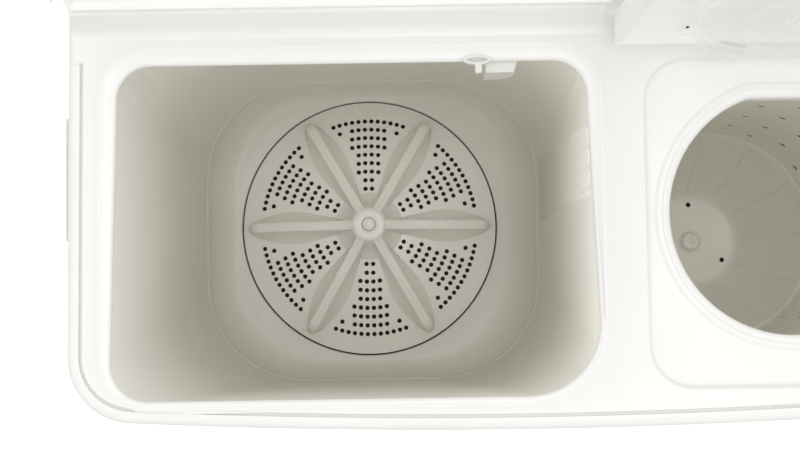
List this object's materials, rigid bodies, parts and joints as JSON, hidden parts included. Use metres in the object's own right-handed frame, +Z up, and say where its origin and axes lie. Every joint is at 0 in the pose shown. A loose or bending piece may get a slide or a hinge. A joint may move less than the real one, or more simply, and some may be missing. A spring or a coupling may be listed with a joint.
{
  "type": "twin tub washer",
  "caption": "Twin tub washing machine with a pulsator wash tub, a perforated spin basket, two hinged lids, a safety cover, turning knobs and the drives below.",
  "frame": {"origin": "on the floor, under the middle of the machine's bounding box", "axes": "+X to the machine's right, -Y out of its front, +Z up"},
  "size_m": [0.809, 0.46, 1.2029],
  "materials": {
    "cabinet": "smooth white enamel",
    "white_plastic": "satin white moulded plastic",
    "tub_plastic": "satin off-white polypropylene",
    "basket_plastic": "satin off-white polypropylene",
    "pulsator_plastic": "satin off-white polypropylene",
    "cover_plastic": "clear moulded plastic",
    "knob_plastic": "satin grey-blue plastic",
    "grey_plastic": "satin grey plastic",
    "grey_base": "grained grey plastic",
    "black_plastic": "satin black plastic",
    "black_rubber": "matt black rubber",
    "steel": "zinc-plated steel",
    "aluminium": "die-cast",
    "motor": "dark grey enamel"
  },
  "bodies": {
    "machine": {"base_tray": "grey_base", "cabinet_shell": "cabinet", "back_panel": "cabinet", "foot_front_left": "black_rubber", "foot_front_right": "black_rubber", "foot_back_left": "black_rubber", "foot_back_right": "black_rubber", "side_grip_left": "white_plastic", "side_grip_right": "white_plastic", "cord_gland": "black_plastic", "back_screw_1": "steel", "back_screw_2": "steel", "top_deck": "white_plastic", "console_shell": "white_plastic", "wash_tub": "tub_plastic", "lint_filter": "white_plastic", "filter_clip": "white_plastic", "overflow_filter": "tub_plastic", "gear_housing": "aluminium", "shaft_seal": "black_rubber", "drive_belt": "black_rubber", "wash_motor": "motor", "motor_bracket": "steel", "spin_tub_case": "tub_plastic", "bellows_seal": "black_rubber", "spin_motor": "motor", "spin_motor_plate": "steel", "spin_mount_1": "black_rubber", "spin_mount_2": "black_rubber", "spin_mount_3": "black_rubber", "brake_post": "steel", "drain_valve_body": "tub_plastic", "drain_outlet": "grey_plastic", "spin_hinge_left": "white_plastic", "spin_hinge_right": "white_plastic", "lid_switch": "black_plastic", "wash_timer": "black_plastic", "wash_switch": "black_plastic", "drain_switch": "black_plastic", "spin_timer": "black_plastic", "inlet_port": "grey_plastic"},
    "pulsator_drive": {"pulsator": "pulsator_plastic", "pulsator_cap": "pulsator_plastic", "wash_shaft": "steel", "wash_pulley": "aluminium"},
    "motor_rotor": {"wash_motor_shaft": "steel", "motor_pulley": "aluminium"},
    "basket_drive": {"spin_basket": "basket_plastic", "balance_ring": "white_plastic", "spin_shaft": "steel", "brake_drum": "aluminium"},
    "brake_lever": {"brake_lever": "grey_plastic"},
    "wash_lid": {"wash_lid": "white_plastic"},
    "spin_lid": {"spin_lid": "white_plastic"},
    "safety_cover": {"safety_cover": "cover_plastic"},
    "wash_timer_knob": {"wash_timer_knob": "knob_plastic"},
    "wash_selector_knob": {"wash_selector_knob": "knob_plastic"},
    "drain_selector_knob": {"drain_selector_knob": "knob_plastic"},
    "spin_timer_knob": {"spin_timer_knob": "knob_plastic"},
    "drain_plug": {"drain_plug": "black_rubber"}
  },
  "joints": [
    {"name": "pulsator_spin", "type": "hinge", "parent": "machine", "child": "pulsator_drive", "pos_m": [-0.144, -0.026, 0.33], "axis": [0, 0, 1], "continuous": true},
    {"name": "motor_spin", "type": "hinge", "parent": "machine", "child": "motor_rotor", "pos_m": [-0.29, 0.1, 0.33], "axis": [0, 0, 1], "continuous": true},
    {"name": "basket_spin", "type": "hinge", "parent": "machine", "child": "basket_drive", "pos_m": [0.234, -0.045, 0.35], "axis": [0, 0, 1], "continuous": true},
    {"name": "wash_lid_hinge", "type": "hinge", "parent": "machine", "child": "wash_lid", "pos_m": [-0.155, 0.139, 0.854], "axis": [1, 0, 0], "range_deg": [0, 101]},
    {"name": "spin_lid_hinge", "type": "hinge", "parent": "machine", "child": "spin_lid", "pos_m": [0.236, 0.112, 0.844], "axis": [1, 0, 0], "range_deg": [0, 90]},
    {"name": "safety_cover_hinge", "type": "hinge", "parent": "machine", "child": "safety_cover", "pos_m": [0.234, 0.09, 0.831], "axis": [1, 0, 0], "range_deg": [0, 94.7]},
    {"name": "brake_release", "type": "hinge", "parent": "machine", "child": "brake_lever", "pos_m": [0.286, -0.105, 0.259], "axis": [0, 0, 1], "range_deg": [-9.1, 0]},
    {"name": "wash_timer_turn", "type": "hinge", "parent": "machine", "child": "wash_timer_knob", "pos_m": [-0.27, 0.19, 0.87693], "axis": [0, -0.4211, 0.907], "range_deg": [-300, 0]},
    {"name": "wash_selector_turn", "type": "hinge", "parent": "machine", "child": "wash_selector_knob", "pos_m": [-0.15, 0.19, 0.87693], "axis": [0, -0.4211, 0.907], "range_deg": [-45, 45]},
    {"name": "drain_selector_turn", "type": "hinge", "parent": "machine", "child": "drain_selector_knob", "pos_m": [-0.03, 0.19, 0.87693], "axis": [0, -0.4211, 0.907], "range_deg": [-60, 0]},
    {"name": "spin_timer_turn", "type": "hinge", "parent": "machine", "child": "spin_timer_knob", "pos_m": [0.24, 0.19, 0.87693], "axis": [0, -0.4211, 0.907], "range_deg": [-300, 0]},
    {"name": "drain_lift", "type": "slide", "parent": "machine", "child": "drain_plug", "axis": [0, 0, 1], "range_m": [0, 0.0151]}
  ],
  "couplings": [
    {"joint": "motor_spin", "follows": "pulsator_spin", "ratio": 3.2},
    {"joint": "safety_cover_hinge", "follows": "spin_lid_hinge", "ratio": 1.0511},
    {"joint": "brake_release", "follows": "spin_lid_hinge", "ratio": -0.1},
    {"joint": "drain_lift", "follows": "drain_selector_turn", "m_per_rad": -0.0143}
  ]
}
